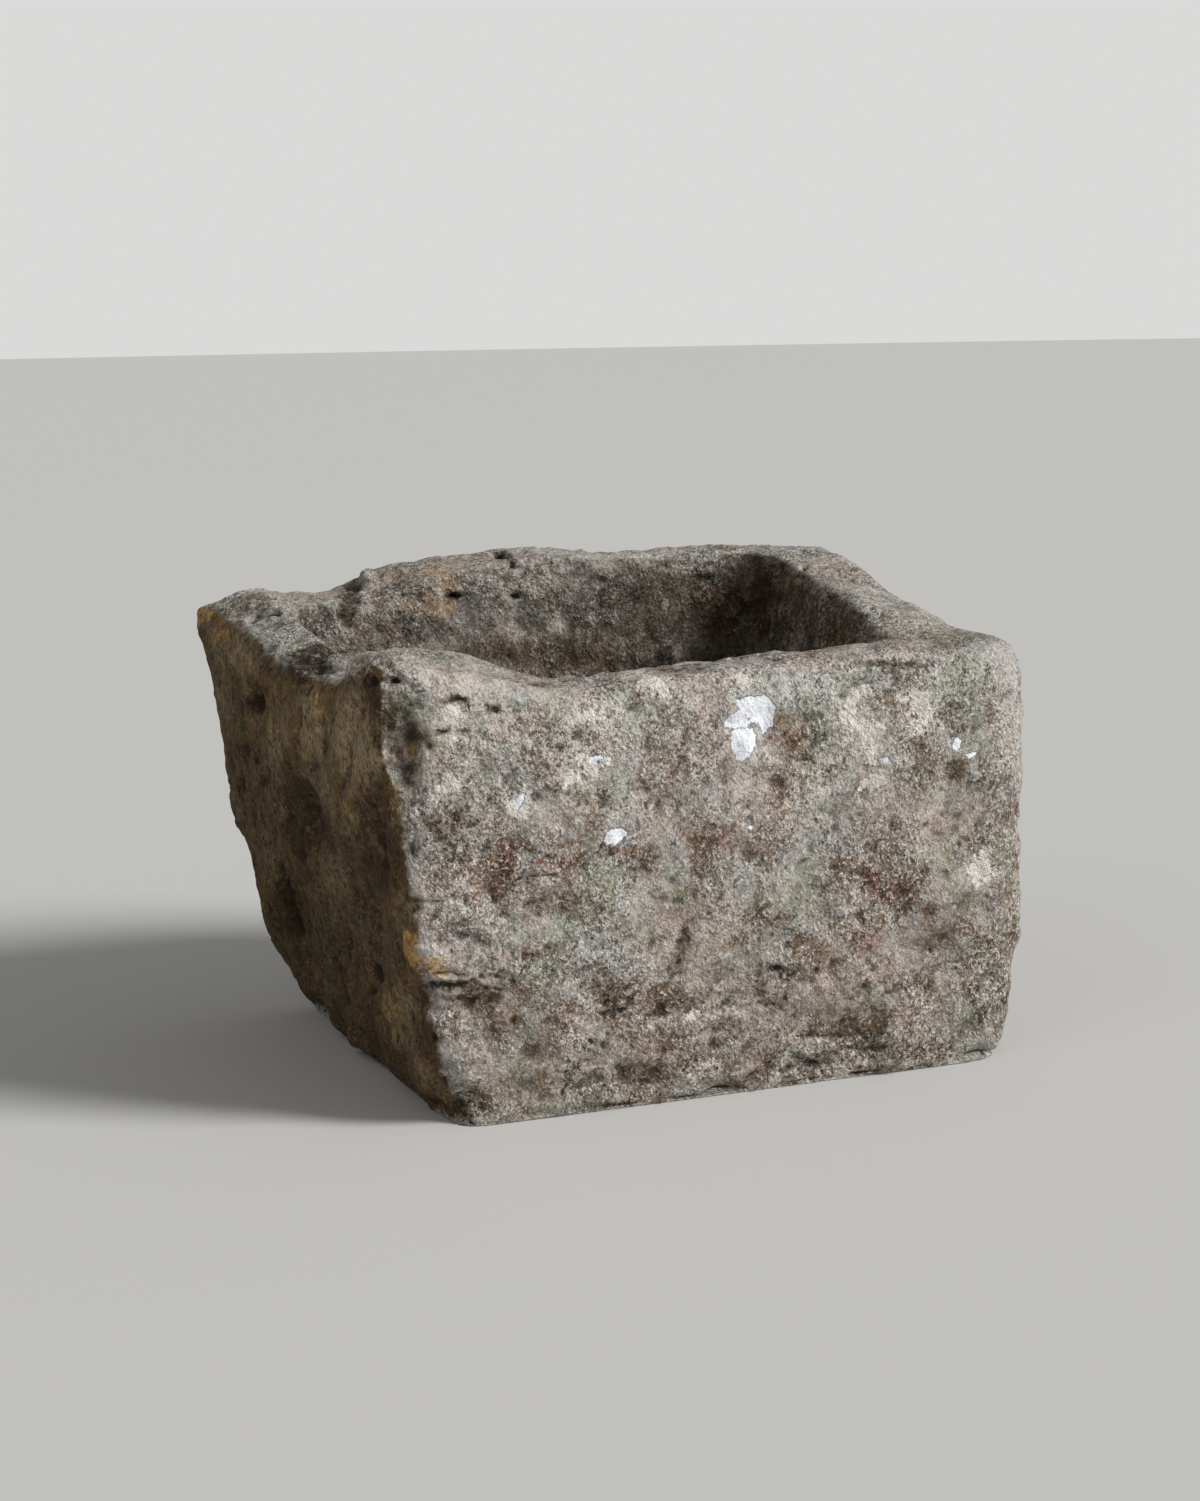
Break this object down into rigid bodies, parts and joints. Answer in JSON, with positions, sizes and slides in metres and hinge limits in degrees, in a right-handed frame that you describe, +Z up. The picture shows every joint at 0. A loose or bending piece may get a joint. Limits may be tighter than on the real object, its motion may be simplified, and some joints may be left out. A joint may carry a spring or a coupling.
{
  "type": "stone trough",
  "caption": "Squarish trough carved from one block of weathered stone, with thick outward-leaning walls, an uneven worn rim and a deep basin.",
  "frame": {"origin": "centre of the bounding box's bottom, on the surface that the trough stands on", "axes": "+X to the right along the front wall, the front wall looks along -Y, +Z up out of the basin"},
  "size_m": [0.4734, 0.4118, 0.3224],
  "materials": {
    "weathered_stone": "rough, weathered and granular, with lime and lichen marks",
    "dry_root": "dry and dull"
  },
  "bodies": {
    "root": {"stone_trough": "weathered_stone", "rootlet_left": "dry_root", "rootlet_curled": "dry_root", "rootlet_long": "dry_root", "rootlet_right": "dry_root"}
  },
  "joints": []
}
